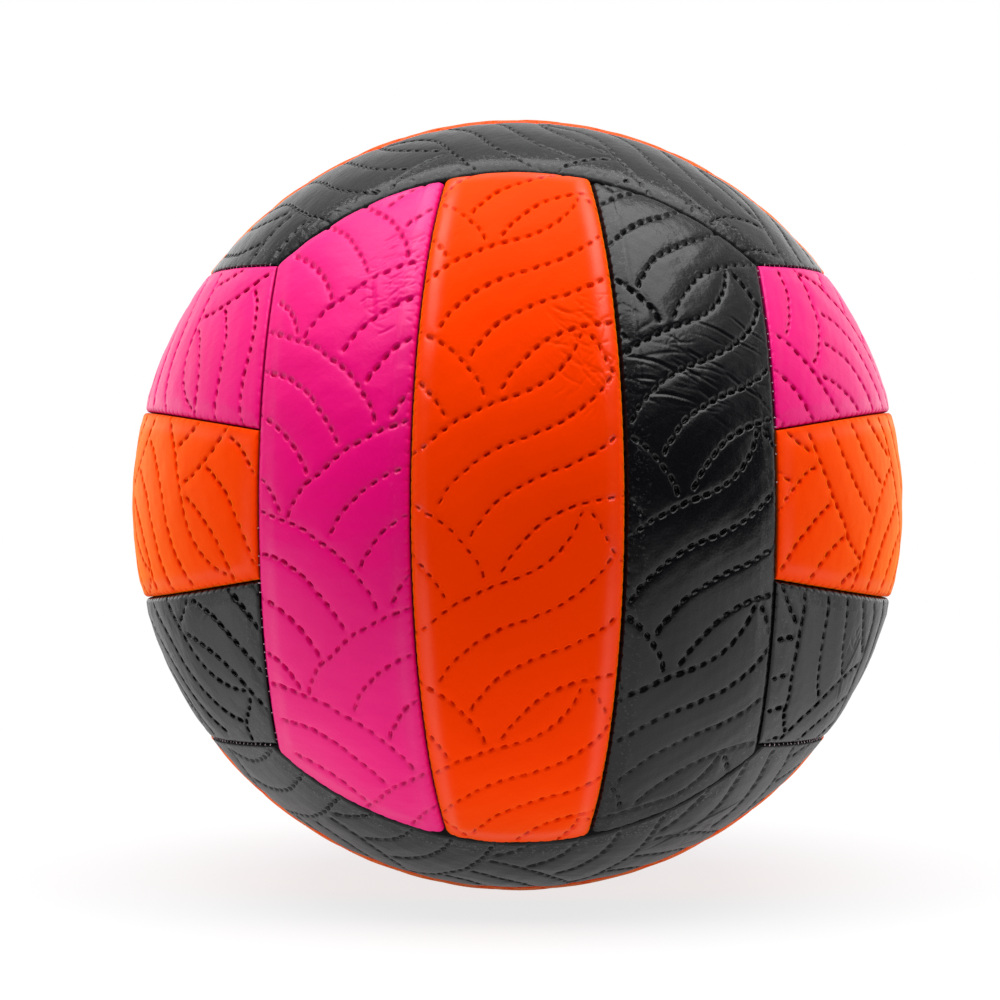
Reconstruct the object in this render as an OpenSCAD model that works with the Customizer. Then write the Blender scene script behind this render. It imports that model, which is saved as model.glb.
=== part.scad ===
// An 18-panel volleyball, size 5, built up as the real one is: a skin and a backing pad for each panel, a bladder and a valve.
// The ball's centre is the origin, +Z is up, and the face turned to the viewer looks along -Y.
// Three strips make a face, six faces make the ball, and each face lies across its four neighbours.

/* [Ball] */
// diameter of the blown-up ball, over the crowns of the panels
ball_d = 210; // [206:0.5:214]
// how far the three-seam corners lie below the crown
seam_depth = 1.6; // [0.8:0.1:2.4]

/* [Panels] */
// how far the long seams of a face bow out past its corners, halfway along
face_bow = 2.3; // [0.5:0.1:4]
// width of a middle strip, halfway along
middle_w = 50; // [42:1:58]
// width of a middle strip at its two ends
middle_end_w = 36; // [30:1:44]
// radius of the rolled edge round each panel
edge_r = 3.4; // [2:0.1:4]
// gap left between the rolled edges of two neighbouring panels
seam_gap = 0.3; // [0.1:0.05:0.6]

/* [Layers] */
// thickness of the panel skin
skin_t = 1; // [0.6:0.1:1.4]
// thickness of the foam pad behind each skin
pad_t = 3.6; // [2.5:0.1:5]
// thickness of the bladder wall
bladder_t = 0.7; // [0.5:0.1:1.6]
// clearance between two layers that lie on each other
layer_gap = 0.1; // [0.05:0.05:0.3]

/* [Valve] */
// diameter of the valve collar that fills the hole in the panel
collar_d = 10; // [8:0.5:13]
// how far the collar's lip stays below the panel's crown
collar_drop = 0.5; // [0.2:0.1:1]
// clearance round the collar where it passes a skin or a pad
collar_gap = 0.15; // [0.05:0.05:0.4]
// diameter of the valve's flange on the bladder
flange_d = 26; // [20:1:34]
// thickness of the valve's flange
flange_t = 1.4; // [0.8:0.1:2]
// length of the valve tube inside the bladder
tube_l = 9; // [5:0.5:14]
// diameter of the plug's head
head_d = 7; // [6:0.25:7.5]
// thickness of the plug's head
head_t = 1.8; // [1:0.1:2.5]
// diameter of the plug's stem
stem_d = 5; // [4.4:0.2:5.6]
// how far the plug's head lies below the collar's lip
head_drop = 0.2; // [0.1:0.1:0.6]
// clearance between the plug and the seat
plug_gap = 0.1; // [0.05:0.05:0.2]
// diameter of the bulb that locks the plug under the seat
bulb_d = 6.6; // [6:0.2:7.4]
// length of the bulb below the seat
bulb_l = 4; // [3:0.5:6]
// diameter of the passage for the pump's needle
needle_d = 2.2; // [2:0.1:2.6]
// length of the straight passage for the needle
needle_l = 14; // [10:0.5:16]
// diameter of the funnel that leads the needle in
funnel_d = 4; // [3:0.25:5]

/* [Hidden] */
$fn = 96;
// spare length that carries a cut clear of what it cuts
overrun = 2;
// how far a roll's circle reaches past the crown and past the seam's plane, which leaves a faint crease at both
crease = 0.08;

// radii of the layers, from the outside in
ball_r = ball_d / 2;
seam_r = ball_r - seam_depth;
pad_r = ball_r - skin_t - layer_gap;
lining_r = pad_r - pad_t;
bladder_r = lining_r - layer_gap;
air_r = bladder_r - bladder_t;

// A seam lies in the plane across = start + slope * out, where out is the way to the face and across is square to its strips.
// The planes of three neighbouring faces meet at a corner that is as far along all three axes.
corner = seam_r / sqrt(3);
face_half = corner + face_bow;
face_out = sqrt(seam_r * seam_r - face_half * face_half);
face_slope = (face_half - corner) / (face_out - corner);
face_start = corner * (1 - face_slope);
face_lean = atan(face_slope);
face_reach = face_start * cos(face_lean);

// The strip seams run through the middle strip's width halfway along and its width at the ends.
strip_half = middle_w / 2;
strip_out = sqrt(seam_r * seam_r - strip_half * strip_half);
end_half = middle_end_w / 2;
end_square = seam_r * seam_r - end_half * end_half;
end_up = (sqrt(end_square * (1 + face_slope * face_slope) - face_start * face_start) - face_start * face_slope)
    / (1 + face_slope * face_slope);
end_out = face_start + face_slope * end_up;
strip_slope = (strip_half - end_half) / (strip_out - end_out);
strip_start = strip_half - strip_slope * strip_out;
strip_lean = atan(strip_slope);
strip_reach = strip_start * cos(strip_lean);

// The seams of a face as [across at the ball's centre, slope], from its middle to its side.
middle_low = [-strip_start, -strip_slope];
middle_high = [strip_start, strip_slope];
side_high = [face_start, face_slope];
// the wedge of a panel runs from halfway out to past the crown
near = lining_r / 2;
far = ball_r + overrun;

// heights of the valve along its axis, from the ball's centre
collar_top = ball_r - collar_drop;
tube_end = air_r - tube_l;
plug_top = collar_top - head_drop;
head_seat = plug_top - head_t - plug_gap;
funnel_depth = (funnel_d - needle_d) / 2;
passage_top = plug_top - funnel_depth;
bulb_top = tube_end - plug_gap;
bulb_bottom = bulb_top - bulb_l;

// colours of the three skins, the foam, the rubber and the valve
pink = [0.86, 0.05, 0.42];
orange = [0.93, 0.27, 0.03];
black = [0.06, 0.06, 0.07];
foam = [0.88, 0.87, 0.83];
rubber = [0.14, 0.14, 0.15];
gum = [0.3, 0.3, 0.31];

function lean(seam) = atan(seam[1]);
function reach(seam) = seam[0] * cos(lean(seam));

// The room between two long seams and the two seams at their ends, drawn in by the inset from each seam's plane.
module seam_wedge(low, high, inset) {
    low_shift = (seam_gap / 2 + inset) / cos(lean(low));
    high_shift = (seam_gap / 2 + inset) / cos(lean(high));
    end_shift = (seam_gap / 2 + inset) / cos(face_lean);
    end_at_far = face_start + face_slope * far + end_shift;
    intersection() {
        translate([0, 0, -far])
            linear_extrude(2 * far)
                polygon([
                    [low[0] + low[1] * near + low_shift, -near],
                    [high[0] + high[1] * near - high_shift, -near],
                    [high[0] + high[1] * far - high_shift, -far],
                    [low[0] + low[1] * far + low_shift, -far]
                ]);
        rotate([90, 0, 90])
            translate([0, 0, -far])
                linear_extrude(2 * far)
                    polygon([
                        [-face_start - end_shift, 0],
                        [-end_at_far, far],
                        [-far, far],
                        [-far, -far],
                        [-end_at_far, -far]
                    ]);
    }
}

// Rolls one edge of what it is given: a ring takes away all that lies outside a circle which leads from the crown into the seam.
module rolled(turn, seam_reach, inset) {
    roll_s = seam_reach - seam_gap / 2 - edge_r + crease;
    crown_r = ball_r - edge_r + crease;
    roll_q = sqrt(crown_r * crown_r - roll_s * roll_s);
    spare = edge_r + overrun;
    grow = 1 + 2 * spare / crown_r;
    difference() {
        children();
        rotate(turn)
            rotate([0, 90, 0])
                rotate_extrude()
                    difference() {
                        polygon([
                            [roll_q, roll_s],
                            [roll_q * grow, roll_s * grow],
                            [roll_q * grow, roll_s + 3 * spare],
                            [roll_q, roll_s + 3 * spare]
                        ]);
                        translate([roll_q, roll_s])
                            circle(edge_r - inset);
                    }
    }
}

// One panel on the face that looks along -Y, drawn in by the inset on all its outer sides, down to the floor's radius.
module panel_block(low, high, inset, floor_r) {
    rolled([0, 0, lean(high)], reach(high), inset)
        rolled([0, 0, 180 + lean(low)], -reach(low), inset)
            rolled([0, -face_lean, 90], -face_reach, inset)
                rolled([180, face_lean, 90], -face_reach, inset)
                    intersection() {
                        difference() {
                            sphere(ball_r - inset);
                            sphere(floor_r);
                        }
                        seam_wedge(low, high, inset);
                    }
}

// The skin is a shallow tray, whose rolled rim turns into the seam and reaches down to the bladder.
module skin(low, high) {
    difference() {
        panel_block(low, high, 0, lining_r);
        panel_block(low, high, skin_t, lining_r - overrun);
    }
}

// The pad fills the tray.
module pad(low, high) {
    panel_block(low, high, skin_t + layer_gap, lining_r);
}

module middle_skin() {
    skin(middle_low, middle_high);
}

module side_skin() {
    skin(middle_high, side_high);
}

module middle_pad() {
    pad(middle_low, middle_high);
}

module side_pad() {
    pad(middle_high, side_high);
}

// Places for a face, and the turn that takes a side strip to its face's other side.
module on_back() {
    rotate([0, 0, 180])
        children();
}

module on_left() {
    rotate([0, -90, -90])
        children();
}

module on_right() {
    rotate([0, -90, 90])
        children();
}

module on_bottom() {
    rotate([90, 0, 90])
        children();
}

module on_top() {
    rotate([0, 180, 0])
        on_bottom()
            children();
}

module other_side() {
    rotate([0, 180, 0])
        children();
}

// A round bar about the valve's axis, between two heights along it.
module valve_bar(d, low, high) {
    rotate([-90, 0, 0])
        translate([0, 0, low])
            cylinder(d = d, h = high - low);
}

// A cone about the valve's axis, between two heights along it.
module valve_cone(low_d, high_d, low, high) {
    rotate([-90, 0, 0])
        translate([0, 0, low])
            cylinder(d1 = low_d, d2 = high_d, h = high - low);
}

module cover_front_left() {
    color(pink)
        other_side()
            side_skin();
}

module cover_front_middle() {
    color(orange)
        middle_skin();
}

module cover_front_right() {
    color(black)
        side_skin();
}

module cover_back_left() {
    color(pink)
        on_back()
            side_skin();
}

module cover_back_middle() {
    color(orange)
        difference() {
            on_back()
                middle_skin();
            valve_bar(collar_d + 2 * collar_gap, near, far);
        }
}

module cover_back_right() {
    color(black)
        on_back()
            other_side()
                side_skin();
}

module cover_left_upper() {
    color(pink)
        on_left()
            side_skin();
}

module cover_left_middle() {
    color(orange)
        on_left()
            middle_skin();
}

module cover_left_lower() {
    color(black)
        on_left()
            other_side()
                side_skin();
}

module cover_right_upper() {
    color(pink)
        on_right()
            side_skin();
}

module cover_right_middle() {
    color(orange)
        on_right()
            middle_skin();
}

module cover_right_lower() {
    color(black)
        on_right()
            other_side()
                side_skin();
}

module cover_top_front() {
    color(black)
        on_top()
            other_side()
                side_skin();
}

module cover_top_middle() {
    color(orange)
        on_top()
            middle_skin();
}

module cover_top_back() {
    color(pink)
        on_top()
            side_skin();
}

module cover_bottom_front() {
    color(black)
        on_bottom()
            other_side()
                side_skin();
}

module cover_bottom_middle() {
    color(orange)
        on_bottom()
            middle_skin();
}

module cover_bottom_back() {
    color(pink)
        on_bottom()
            side_skin();
}

module pad_front_left() {
    color(foam)
        other_side()
            side_pad();
}

module pad_front_middle() {
    color(foam)
        middle_pad();
}

module pad_front_right() {
    color(foam)
        side_pad();
}

module pad_back_left() {
    color(foam)
        on_back()
            side_pad();
}

module pad_back_middle() {
    color(foam)
        difference() {
            on_back()
                middle_pad();
            valve_bar(collar_d + 2 * collar_gap, near, far);
            intersection() {
                valve_bar(flange_d + 2 * collar_gap, near, far);
                sphere(lining_r + flange_t + layer_gap);
            }
        }
}

module pad_back_right() {
    color(foam)
        on_back()
            other_side()
                side_pad();
}

module pad_left_upper() {
    color(foam)
        on_left()
            side_pad();
}

module pad_left_middle() {
    color(foam)
        on_left()
            middle_pad();
}

module pad_left_lower() {
    color(foam)
        on_left()
            other_side()
                side_pad();
}

module pad_right_upper() {
    color(foam)
        on_right()
            side_pad();
}

module pad_right_middle() {
    color(foam)
        on_right()
            middle_pad();
}

module pad_right_lower() {
    color(foam)
        on_right()
            other_side()
                side_pad();
}

module pad_top_front() {
    color(foam)
        on_top()
            other_side()
                side_pad();
}

module pad_top_middle() {
    color(foam)
        on_top()
            middle_pad();
}

module pad_top_back() {
    color(foam)
        on_top()
            side_pad();
}

module pad_bottom_front() {
    color(foam)
        on_bottom()
            other_side()
                side_pad();
}

module pad_bottom_middle() {
    color(foam)
        on_bottom()
            middle_pad();
}

module pad_bottom_back() {
    color(foam)
        on_bottom()
            side_pad();
}

// The bladder is a hollow ball of rubber with one hole, for the valve.
module bladder() {
    color(rubber)
        difference() {
            sphere(bladder_r);
            sphere(air_r);
            valve_bar(collar_d + 2 * collar_gap, near, far);
        }
}

// The seat is moulded in one: a flange that lies on the bladder, a collar that fills the panel's hole, and a tube into the air.
module valve_seat() {
    color(gum)
        difference() {
            union() {
                intersection() {
                    difference() {
                        sphere(lining_r + flange_t);
                        sphere(lining_r);
                    }
                    valve_bar(flange_d, near, far);
                }
                valve_bar(collar_d, tube_end, collar_top);
            }
            valve_bar(stem_d + 2 * plug_gap, tube_end - overrun, far);
            valve_bar(head_d + 2 * plug_gap, head_seat, far);
        }
}

// The plug hangs in the seat by its head, and its bulb locks it below the tube.
module valve_plug() {
    color(gum)
        difference() {
            union() {
                valve_bar(head_d, plug_top - head_t, plug_top);
                valve_bar(stem_d, bulb_top, plug_top - head_t);
                valve_cone(stem_d - bulb_d / 4, bulb_d, bulb_bottom, bulb_top);
            }
            valve_bar(needle_d, passage_top - needle_l, far);
            valve_cone(needle_d, funnel_d, passage_top, plug_top);
            valve_bar(funnel_d, plug_top, far);
        }
}

cover_front_left();
cover_front_middle();
cover_front_right();
cover_back_left();
cover_back_middle();
cover_back_right();
cover_left_upper();
cover_left_middle();
cover_left_lower();
cover_right_upper();
cover_right_middle();
cover_right_lower();
cover_top_front();
cover_top_middle();
cover_top_back();
cover_bottom_front();
cover_bottom_middle();
cover_bottom_back();
pad_front_left();
pad_front_middle();
pad_front_right();
pad_back_left();
pad_back_middle();
pad_back_right();
pad_left_upper();
pad_left_middle();
pad_left_lower();
pad_right_upper();
pad_right_middle();
pad_right_lower();
pad_top_front();
pad_top_middle();
pad_top_back();
pad_bottom_front();
pad_bottom_middle();
pad_bottom_back();
bladder();
valve_seat();
valve_plug();
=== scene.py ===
import logging
import math
from collections.abc import Iterator
from dataclasses import dataclass, field
from enum import Enum
from functools import cached_property

import bpy
import numpy as np
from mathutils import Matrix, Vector


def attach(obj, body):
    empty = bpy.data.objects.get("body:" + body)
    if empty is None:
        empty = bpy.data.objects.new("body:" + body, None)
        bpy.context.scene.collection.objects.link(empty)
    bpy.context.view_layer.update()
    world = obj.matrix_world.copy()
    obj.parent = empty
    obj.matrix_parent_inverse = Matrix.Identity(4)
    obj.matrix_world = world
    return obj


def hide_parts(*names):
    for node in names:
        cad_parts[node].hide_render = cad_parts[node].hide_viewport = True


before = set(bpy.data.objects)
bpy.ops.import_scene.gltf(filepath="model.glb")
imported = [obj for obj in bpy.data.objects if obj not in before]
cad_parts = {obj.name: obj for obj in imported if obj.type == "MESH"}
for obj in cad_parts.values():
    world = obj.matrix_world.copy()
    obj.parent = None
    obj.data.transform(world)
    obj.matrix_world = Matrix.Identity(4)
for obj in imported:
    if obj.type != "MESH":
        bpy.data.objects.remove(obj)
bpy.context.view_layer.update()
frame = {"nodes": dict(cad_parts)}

# The origin is the ball's centre, the front face looks along -Y at the camera, and +Z is up. Panels are worked out
# in mm, in the axes of their face as if it were the front one, and pieces are placed in metres.
MM = 0.001
log = logging.getLogger("volleyball")

Colour = tuple[float, float, float]
Seam = tuple[float, float]
Feed = "float | tuple[float, ...] | Value"


def put_in_scene(name: str, data: bpy.types.ID) -> bpy.types.Object:
    """Makes an object and puts it in the scene.

    Args:
        name: the object's name.
        data: its mesh, lamp or camera.

    Returns:
        The object.
    """
    made = bpy.data.objects.new(name, data)
    bpy.context.scene.collection.objects.link(made)
    return made


def runs(line: np.ndarray) -> np.ndarray:
    """Gives how far along a line each of its points lies."""
    return np.concatenate([[0], np.cumsum(np.linalg.norm(np.diff(line, axis=0), axis=1))])


def swell(distance: np.ndarray, place: float, width: float) -> np.ndarray:
    """Gives a soft swell that is 1 at a place and fades over a width on both sides of it."""
    return np.exp(-((distance - place) / width) ** 2)


def ease(share: np.ndarray) -> np.ndarray:
    """Rises smoothly from 0 to 1, and keeps to them outside."""
    share = np.clip(share, 0, 1)
    return share * share * (3 - 2 * share)


# ---------------------------------------------------------------------------
# Materials
# ---------------------------------------------------------------------------


def paint(red: int, green: int, blue: int) -> Colour:
    """Gives the linear colour of a swatch written in 0 to 255.

    Args:
        red: red of the swatch.
        green: green of the swatch.
        blue: blue of the swatch.

    Returns:
        The colour as the shader takes it.
    """
    def linear(level: int) -> float:
        """Undoes the display curve for one channel."""
        share = level / 255
        return share / 12.92 if share <= 0.04045 else ((share + 0.055) / 1.055) ** 2.4

    return linear(red), linear(green), linear(blue)


class Value:
    """A number that varies over a surface, so that shader maths reads as Python."""

    def __init__(self, recipe: "Recipe", socket: bpy.types.NodeSocket) -> None:
        """Wraps an output socket of a recipe."""
        self.recipe, self.socket = recipe, socket

    def _maths(self, operation: str, first: Feed, second: Feed) -> "Value":
        """Adds one Math node.

        Args:
            operation: the node's operation.
            first: its first value.
            second: its second value.

        Returns:
            What the node puts out.
        """
        made = self.recipe.node("ShaderNodeMath", {"operation": operation}, {0: first, 1: second})
        return Value(self.recipe, made.outputs[0])

    def __add__(self, other: Feed) -> "Value":
        """Adds a value."""
        return self._maths("ADD", self, other)

    def __radd__(self, other: Feed) -> "Value":
        """Adds to a value."""
        return self._maths("ADD", other, self)

    def __sub__(self, other: Feed) -> "Value":
        """Takes a value away."""
        return self._maths("SUBTRACT", self, other)

    def __rsub__(self, other: Feed) -> "Value":
        """Takes this away from a value."""
        return self._maths("SUBTRACT", other, self)

    def __mul__(self, other: Feed) -> "Value":
        """Multiplies by a value."""
        return self._maths("MULTIPLY", self, other)

    def __rmul__(self, other: Feed) -> "Value":
        """Multiplies a value."""
        return self._maths("MULTIPLY", other, self)

    def ramp(self, low: float, high: float) -> "Value":
        """Rises smoothly from 0 at low to 1 at high.

        Args:
            low: where the result is 0.
            high: where the result is 1.

        Returns:
            The smooth step.
        """
        made = self.recipe.node(
            "ShaderNodeMapRange", {"interpolation_type": "SMOOTHSTEP"},
            {"Value": self, "From Min": low, "From Max": high})
        return Value(self.recipe, made.outputs[0])


class Recipe:
    """The nodes of one material or of the world."""

    def __init__(self, tree: bpy.types.NodeTree) -> None:
        """Starts with an empty tree."""
        self.tree = tree
        tree.nodes.clear()

    def node(self, kind: str, settings: dict | None = None, sockets: dict | None = None) -> bpy.types.Node:
        """Adds a node, sets it, and then feeds its sockets.

        Args:
            kind: the node's type.
            settings: its own settings, which are set first.
            sockets: a number, colour or Value for each named or numbered input.

        Returns:
            The node.
        """
        made = self.tree.nodes.new(kind)
        for name, setting in (settings or {}).items():
            setattr(made, name, setting)
        for name, feed in (sockets or {}).items():
            if isinstance(feed, Value):
                self.tree.links.new(feed.socket, made.inputs[name])
            elif isinstance(feed, bpy.types.NodeSocket):
                self.tree.links.new(feed, made.inputs[name])
            elif isinstance(feed, tuple) and made.inputs[name].type == "RGBA":
                made.inputs[name].default_value = (*feed[:3], 1.0)
            else:
                made.inputs[name].default_value = feed
        return made

    def value(self, kind: str, settings: dict | None = None, sockets: dict | None = None,
              output: str | int = 0) -> Value:
        """Adds a node and gives one of its outputs as a value.

        Args:
            kind: the node's type.
            settings: its own settings.
            sockets: what its inputs take.
            output: which output is wanted.

        Returns:
            The output as a Value.
        """
        return Value(self, self.node(kind, settings, sockets).outputs[output])

    def place(self) -> Value:
        """Gives the place on the piece, in metres."""
        return self.value("ShaderNodeTexCoord", output="Object")

    def mark(self, name: str) -> Value:
        """Reads a number that the mesh carries at each of its points."""
        return self.value("ShaderNodeAttribute", {"attribute_name": name}, output="Fac")

    def noise(self, per_metre: float, detail: float = 2.0, roughness: float = 0.5) -> Value:
        """Gives a cloudy number between 0 and 1.

        Args:
            per_metre: how many clouds go into a metre.
            detail: how many finer layers there are.
            roughness: how strong the finer layers are.

        Returns:
            The noise.
        """
        return self.value(
            "ShaderNodeTexNoise", {},
            {"Vector": self.place(), "Scale": per_metre, "Detail": detail, "Roughness": roughness})

    def cells(self, per_metre: float) -> Value:
        """Gives the distance to the nearest of many scattered points."""
        return self.value("ShaderNodeTexVoronoi", {"feature": "F1"}, {"Vector": self.place(), "Scale": per_metre})

    def blend(self, share: Feed, first: Feed, second: Feed) -> Value:
        """Mixes two colours.

        Args:
            share: how much of the second colour there is.
            first: the first colour.
            second: the second colour.

        Returns:
            The mixed colour.
        """
        return self.value(
            "ShaderNodeMix", {"data_type": "RGBA", "blend_type": "MIX", "clamp_factor": True},
            {0: share, 6: first, 7: second}, output=2)

    def mingle(self, share: Feed, first: bpy.types.Node, second: bpy.types.Node) -> bpy.types.Node:
        """Mixes two shaders, with so large a share of the second."""
        return self.node("ShaderNodeMixShader", {}, {0: share, 1: first.outputs[0], 2: second.outputs[0]})

    def bump(self, height: Value, depth: float) -> Value:
        """Turns a height into a leaning normal, where a height of 1 stands for that depth in metres."""
        return self.value("ShaderNodeBump", {}, {"Height": height, "Strength": 1.0, "Distance": depth})

    def axes(self, place: Value) -> Iterator[Value]:
        """Splits a place into its X, Y and Z."""
        parts = self.node("ShaderNodeSeparateXYZ", {}, {0: place})
        return (Value(self, part) for part in parts.outputs)

    def put_out(self, surface: bpy.types.Node, kind: str = "ShaderNodeOutputMaterial") -> None:
        """Sends a shader to the material's or the world's output."""
        self.node(kind, {}, {"Surface": surface.outputs[0]})


def new_material(name: str) -> tuple[bpy.types.Material, Recipe]:
    """Makes a material and the empty recipe that fills it.

    Args:
        name: the material's name.

    Returns:
        The material and its recipe.
    """
    made = bpy.data.materials.new(name)
    made.use_nodes = True
    return made, Recipe(made.node_tree)


@dataclass(frozen=True)
class LeatherFinish:
    """A coated skin with a fine grain, sunk stitches and a faint unevenness of tone.

    It reads four marks on the mesh. The first is the distance in mm to the nearest stitch's rim ("stitch"), which
    near the seams also carries the seam gaps. The second is the distance to the nearest sewn line ("furrow"). The
    last two are the shares of pale flecks and of gloss ("shine") along the seams. The pits and the seam gaps are
    painted darker as painted shade, the sewn lines a little darker as painted shade, and the pale flecks stand
    partly for wear and partly for painted highlight. The grain, the crinkle, the lip round a stitch and the
    scuffed flecks are reliefs in mm.
    """

    name: str
    colour: Colour
    deep: Colour
    pit_and_seam_shade: Colour
    bare_and_highlight: Colour
    slot: str
    gloss: float
    sheen: Colour = (1.0, 1.0, 1.0)
    roughness: float = 0.38
    nap: float = 0.0
    edge_shine: float = 0.0
    grain: float = 0.016
    crinkle: float = 0.035
    lip: float = 0.025
    scuff_and_highlight: float = 0.08
    clouds_per_metre: float = 38.0
    wrinkles_per_metre: float = 260.0
    scuff_highlights_per_metre: float = 1150.0
    pores_per_metre: float = 1250.0
    pebbles_per_metre: float = 1500.0
    deep_share: float = 0.22
    pore_share: float = 0.1
    pit_and_seam_shade_share: float = 0.75
    bare_and_highlight_share: float = 0.85

    @cached_property
    def material(self) -> bpy.types.Material:
        """The skin's material, made once."""
        made, mix = new_material(self.name)
        stitch, furrow, wear_and_highlight = mix.mark("stitch"), mix.mark("furrow"), mix.mark("wear_and_highlight")
        cloud = mix.noise(self.clouds_per_metre, 3.0)
        pores = mix.cells(self.pores_per_metre).ramp(0.1, 0.75)
        pebble = mix.noise(self.pebbles_per_metre, 1.0)
        wrinkle = mix.noise(self.wrinkles_per_metre, 3.0, 0.55)
        in_stitch, in_pit_core = stitch.ramp(0.07, -0.2), stitch.ramp(-0.05, -0.32)
        lip = stitch.ramp(0.0, 0.3) * stitch.ramp(0.85, 0.4)
        # Pale flecks near the seams: partly wear, partly painted highlight standing in for glints on crackled
        # leather.
        scuff_and_highlight = wear_and_highlight * mix.noise(self.scuff_highlights_per_metre, 4.0, 0.7).ramp(0.56, 0.63) * (1 - in_stitch)
        tone = mix.blend(cloud.ramp(0.3, 0.75) * self.deep_share, self.colour, self.deep)
        # Painted shade: the skin is painted a little darker along the sewn lines.
        tone = mix.blend(furrow.ramp(1.5, 0.1) * self.deep_share, tone, self.deep)
        tone = mix.blend(pores * self.pore_share, tone, self.deep)
        # Painted highlight and wear: the flecks take the pale colour.
        tone = mix.blend(scuff_and_highlight * self.bare_and_highlight_share, tone, self.bare_and_highlight)
        # Painted shade: the stitch pits and the seam gaps take the darker pit and seam shade colour.
        tone = mix.blend(in_stitch * self.pit_and_seam_shade_share, tone, self.pit_and_seam_shade)
        height = pebble * self.grain - pores * self.grain * 0.7 + wrinkle * self.crinkle
        height = height + scuff_and_highlight * self.scuff_and_highlight + lip * self.lip
        rough = (pebble - 0.5) * 0.14 + cloud * 0.08 + (self.roughness - 0.04)
        rough = rough + in_stitch * 0.12 + in_pit_core * 0.5
        shader = mix.node("ShaderNodeBsdfPrincipled", {}, {
            "Base Color": tone, "Roughness": rough, "Normal": mix.bump(height, MM),
            "Specular IOR Level": self.gloss, "Specular Tint": self.sheen,
            "Sheen Weight": self.nap, "Sheen Roughness": 0.45, "Sheen Tint": self.sheen,
            "Coat Weight": mix.mark("shine") * self.edge_shine if self.edge_shine else 0.0,
            "Coat Roughness": 0.32})
        mix.put_out(shader)
        return made

    def dress(self, piece: bpy.types.Object) -> None:
        """Puts the skin on a piece."""
        piece.data.materials.append(self.material)


@dataclass(frozen=True)
class RubberFinish:
    """Moulded rubber: dull, with a faint bloom and fine pits."""

    name: str
    colour: Colour
    roughness: float
    blooms_per_metre: float = 220.0
    pits_per_metre: float = 4200.0
    pit_depth: float = 0.03 * MM

    @cached_property
    def material(self) -> bpy.types.Material:
        """The rubber's material, made once."""
        made, mix = new_material(self.name)
        bloom = mix.noise(self.blooms_per_metre, 4.0, 0.6)
        pale = tuple(min(1.0, level * 1.6 + 0.012) for level in self.colour)
        mix.put_out(mix.node("ShaderNodeBsdfPrincipled", {}, {
            "Base Color": mix.blend(bloom.ramp(0.35, 0.8) * 0.5, self.colour, pale),
            "Roughness": (bloom - 0.5) * 0.2 + self.roughness,
            "Normal": mix.bump(mix.noise(self.pits_per_metre), self.pit_depth)}))
        return made

    def dress(self, piece: bpy.types.Object) -> None:
        """Puts the rubber on a construction node that keeps its shape."""
        for place in piece.material_slots:
            place.material = self.material


@dataclass(frozen=True)
class ThreadFinish:
    """Twisted sewing thread."""

    name: str
    colour: Colour
    fibres_per_metre: float = 5200.0
    fibre_depth: float = 0.06 * MM

    @cached_property
    def material(self) -> bpy.types.Material:
        """The thread's material, made once."""
        made, mix = new_material(self.name)
        fibre = mix.noise(self.fibres_per_metre)
        shade = tuple(level * 0.55 for level in self.colour)
        mix.put_out(mix.node("ShaderNodeBsdfPrincipled", {}, {
            "Base Color": mix.blend(fibre.ramp(0.35, 0.7), shade, self.colour),
            "Roughness": fibre * 0.2 + 0.55, "Normal": mix.bump(fibre, self.fibre_depth)}))
        return made


class Skin(Enum):
    """The three skins that the ball is made of."""

    # Each skin gives its colour and a deeper tone. It then gives the dark colour of the painted shade in its pits
    # and seam gaps, and the pale colour of its flecks, which are partly wear and partly painted highlight.
    PINK = LeatherFinish(
        "pink_leather", paint(226, 3, 115), paint(207, 0, 95), paint(158, 0, 74), paint(250, 120, 180),
        slot="skin_pink", gloss=0.22, sheen=(1.0, 0.5, 0.8), edge_shine=0.6)
    ORANGE = LeatherFinish(
        "orange_leather", paint(239, 52, 0), paint(228, 41, 0), paint(163, 6, 0), paint(255, 130, 60),
        slot="skin_orange", gloss=0.02, sheen=(1.0, 0.42, 0.0), roughness=0.4, nap=0.6, edge_shine=0.9, lip=0.05)
    BLACK = LeatherFinish(
        "black_leather", paint(10, 10, 13), paint(7, 7, 9), paint(1, 1, 2), paint(205, 203, 205),
        slot="skin_black", gloss=0.235, roughness=0.26, lip=0.015)


# ---------------------------------------------------------------------------
# Quilting
# ---------------------------------------------------------------------------

# Sewn lines as (across, along) in mm on the quilted cloth, each from its lower end to its upper.
RISING = (
    ((-30.3, 3.8), (-29.4, 6.2), (-27.4, 9.1), (-25.2, 11.8), (-22.8, 13.0), (-20.3, 15.0), (-18.0, 17.0),
     (-15.6, 18.9), (-13.0, 20.4), (-10.2, 21.8), (-7.6, 23.1), (-4.8, 24.2), (-2.0, 25.2), (1.2, 26.4),
     (4.2, 27.8), (6.6, 29.4), (9.0, 31.4), (11.0, 33.6), (12.6, 36.0), (14.0, 38.6), (15.2, 41.6)),
    ((-3.6, 27.2), (-2.2, 30.0), (-0.2, 32.8), (1.8, 35.1), (4.0, 37.4), (6.6, 39.4), (9.0, 40.9), (11.6, 42.2),
     (14.0, 43.0), (17.4, 43.9), (21.0, 44.6), (26.0, 45.4)),
    ((-11.0, 35.6), (-9.2, 38.4), (-7.2, 41.1), (-5.0, 43.5), (-2.6, 45.4), (0.0, 46.9), (2.8, 48.4),
     (5.6, 49.8), (8.6, 51.0), (12.0, 52.3), (15.0, 53.7), (17.8, 55.2), (20.4, 57.0), (23.0, 59.2)),
    ((-18.4, 43.2), (-17.0, 45.6), (-15.0, 48.2), (-12.8, 50.4), (-10.5, 52.4), (-7.9, 54.2), (-5.3, 55.8),
     (-2.6, 57.2), (0.4, 58.3), (3.4, 59.4), (6.2, 60.6), (9.0, 61.9), (11.6, 63.3), (14.2, 65.2),
     (16.6, 67.2), (18.8, 69.4), (20.8, 71.8), (22.0, 73.6)),
)
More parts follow.
